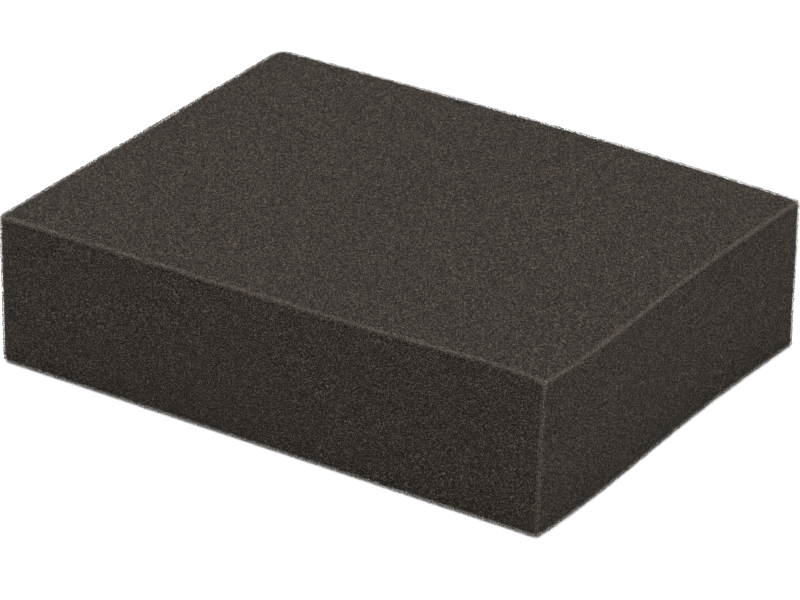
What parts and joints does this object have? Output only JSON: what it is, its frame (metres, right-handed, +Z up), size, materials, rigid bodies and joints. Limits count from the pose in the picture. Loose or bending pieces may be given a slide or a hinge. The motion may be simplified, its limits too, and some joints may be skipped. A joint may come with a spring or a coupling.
{
  "type": "foam air filter element",
  "caption": "Rectangular block of charcoal open-cell foam that filters the intake air of a small engine; flat sheet faces and slightly wandering knife-cut sides.",
  "frame": {"origin": "middle of the lower face, under the centre of the bounding box", "axes": "+X along the long side towards the waved end, +Y towards the bowed back, +Z up through the thickness"},
  "size_m": [0.1154, 0.0924, 0.0299],
  "materials": {
    "filter_foam": "matte charcoal open-cell polyurethane foam, knife cut"
  },
  "bodies": {
    "root": {"foam_element": "filter_foam"}
  },
  "joints": []
}
